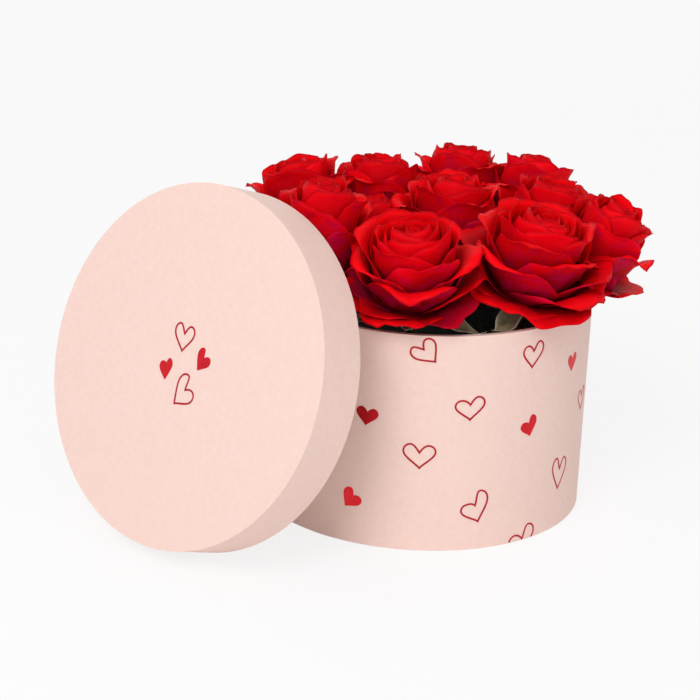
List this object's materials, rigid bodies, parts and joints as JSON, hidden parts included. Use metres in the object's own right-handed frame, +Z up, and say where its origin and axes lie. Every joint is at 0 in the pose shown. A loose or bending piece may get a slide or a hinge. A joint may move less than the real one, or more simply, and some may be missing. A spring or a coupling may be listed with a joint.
{
  "type": "flower box",
  "caption": "Round rigid paper-covered flower box with printed foil hearts, filled with cut roses in soaked foam, its lift-off lid standing beside it.",
  "frame": {"origin": "centre of the box's underside, on the surface that the box and its lid stand on", "axes": "+Z up along the box's axis; the lid stands on the -Y side, leaning towards +Y"},
  "size_m": [0.2236, 0.2847, 0.1855],
  "materials": {
    "pink_paper": "matte",
    "grey_board": "matte",
    "lining_paper": "matte",
    "red_foil": "gloss",
    "black_plastic": "satin",
    "soaked_foam": "matte",
    "rose_petal": "satin",
    "calyx_green": "satin",
    "stem_green": "satin"
  },
  "bodies": {
    "box": {"base_board": "grey_board", "base_lining": "lining_paper", "base_paper": "pink_paper", "wall_board": "grey_board", "wall_hearts_filled": "red_foil", "wall_hearts_outline": "red_foil", "wall_lining": "lining_paper", "wall_wrap": "pink_paper"},
    "lid": {"lid_band_board": "grey_board", "lid_band_wrap": "pink_paper", "lid_hearts_filled": "red_foil", "lid_hearts_outline": "red_foil", "lid_lining": "lining_paper", "lid_top_board": "grey_board", "lid_top_paper": "pink_paper"},
    "insert": {"foam": "soaked_foam", "liner": "black_plastic", "rose_01_bloom": "rose_petal", "rose_01_calyx": "calyx_green", "rose_01_stem": "stem_green", "rose_02_bloom": "rose_petal", "rose_02_calyx": "calyx_green", "rose_02_stem": "stem_green", "rose_03_bloom": "rose_petal", "rose_03_calyx": "calyx_green", "rose_03_stem": "stem_green", "rose_04_bloom": "rose_petal", "rose_04_calyx": "calyx_green", "rose_04_stem": "stem_green", "rose_05_bloom": "rose_petal", "rose_05_calyx": "calyx_green", "rose_05_stem": "stem_green", "rose_06_bloom": "rose_petal", "rose_06_calyx": "calyx_green", "rose_06_stem": "stem_green", "rose_07_bloom": "rose_petal", "rose_07_calyx": "calyx_green", "rose_07_stem": "stem_green", "rose_08_bloom": "rose_petal", "rose_08_calyx": "calyx_green", "rose_08_stem": "stem_green", "rose_09_bloom": "rose_petal", "rose_09_calyx": "calyx_green", "rose_09_stem": "stem_green", "rose_10_bloom": "rose_petal", "rose_10_calyx": "calyx_green", "rose_10_stem": "stem_green", "rose_11_bloom": "rose_petal", "rose_11_calyx": "calyx_green", "rose_11_stem": "stem_green", "rose_12_bloom": "rose_petal", "rose_12_calyx": "calyx_green", "rose_12_stem": "stem_green"}
  },
  "joints": [
    {"name": "lid_lift", "type": "slide", "parent": "box", "child": "lid", "axis": [0, 0, 1], "range_m": [0, 0.2]},
    {"name": "insert_lift", "type": "slide", "parent": "box", "child": "insert", "axis": [0, 0, 1], "range_m": [0, 0.13]}
  ]
}
